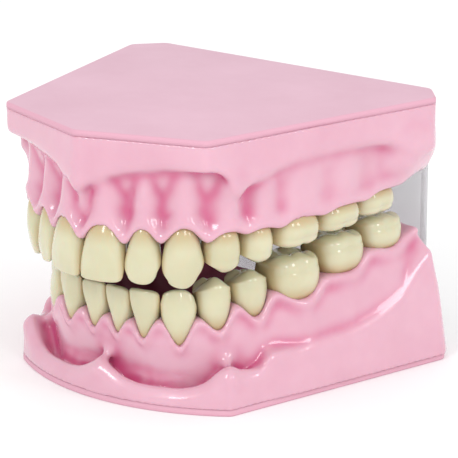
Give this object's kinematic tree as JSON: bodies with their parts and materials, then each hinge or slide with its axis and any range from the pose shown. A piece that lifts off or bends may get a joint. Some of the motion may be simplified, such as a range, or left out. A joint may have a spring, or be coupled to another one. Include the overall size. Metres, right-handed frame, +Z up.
{
  "type": "typodont model",
  "caption": "Dental teaching model: two gum-coloured jaws with separate screwed-in teeth and flat bases, joined across the back by a clear flexible hinge sheet.",
  "frame": {"origin": "centre of the lower jaw's bottom face, on the plane it stands on", "axes": "+Z up, the front teeth face -Y, +X is the model's own left side"},
  "size_m": [0.0796, 0.0708, 0.054],
  "materials": {
    "gum_pink": "glossy cast resin",
    "cover_mauve": "fine matte",
    "tooth_ivory": "glossy enamel",
    "clear_sheet": "clear flexible plastic",
    "screw_steel": "bright zinc"
  },
  "bodies": {
    "lower_body": {"lower_jaw": "gum_pink", "lower_cover_plate": "cover_mauve", "lower_left_central_incisor": "tooth_ivory", "lower_right_central_incisor": "tooth_ivory", "lower_left_lateral_incisor": "tooth_ivory", "lower_right_lateral_incisor": "tooth_ivory", "lower_left_canine": "tooth_ivory", "lower_right_canine": "tooth_ivory", "lower_left_first_premolar": "tooth_ivory", "lower_right_first_premolar": "tooth_ivory", "lower_left_second_premolar": "tooth_ivory", "lower_right_second_premolar": "tooth_ivory", "lower_left_first_molar": "tooth_ivory", "lower_right_first_molar": "tooth_ivory", "lower_left_second_molar": "tooth_ivory", "lower_right_second_molar": "tooth_ivory", "lower_left_third_molar": "tooth_ivory", "lower_right_third_molar": "tooth_ivory", "lower_tooth_screws": "screw_steel", "lower_hinge_screws": "screw_steel", "lower_hinge_washers": "screw_steel", "hinge_sheet_lower": "clear_sheet"},
    "hinge_strip": {"hinge_sheet_middle": "clear_sheet"},
    "upper_body": {"upper_jaw": "gum_pink", "upper_cover_plate": "cover_mauve", "upper_left_central_incisor": "tooth_ivory", "upper_right_central_incisor": "tooth_ivory", "upper_left_lateral_incisor": "tooth_ivory", "upper_right_lateral_incisor": "tooth_ivory", "upper_left_canine": "tooth_ivory", "upper_right_canine": "tooth_ivory", "upper_left_first_premolar": "tooth_ivory", "upper_right_first_premolar": "tooth_ivory", "upper_left_second_premolar": "tooth_ivory", "upper_right_second_premolar": "tooth_ivory", "upper_left_first_molar": "tooth_ivory", "upper_right_first_molar": "tooth_ivory", "upper_left_second_molar": "tooth_ivory", "upper_right_second_molar": "tooth_ivory", "upper_left_third_molar": "tooth_ivory", "upper_right_third_molar": "tooth_ivory", "upper_tooth_screws": "screw_steel", "upper_hinge_screws": "screw_steel", "upper_hinge_washers": "screw_steel", "hinge_sheet_upper": "clear_sheet"}
  },
  "joints": [
    {"name": "lower_bend", "type": "hinge", "parent": "lower_body", "child": "hinge_strip", "pos_m": [0, 0.032, 0.0284], "axis": [-1, 0, 0], "range_deg": [0, 90]},
    {"name": "upper_bend", "type": "hinge", "parent": "hinge_strip", "child": "upper_body", "pos_m": [0, 0.032, 0.0351], "axis": [-1, 0, 0], "range_deg": [0, 90]}
  ],
  "couplings": [
    {"joint": "upper_bend", "follows": "lower_bend", "ratio": 1}
  ]
}
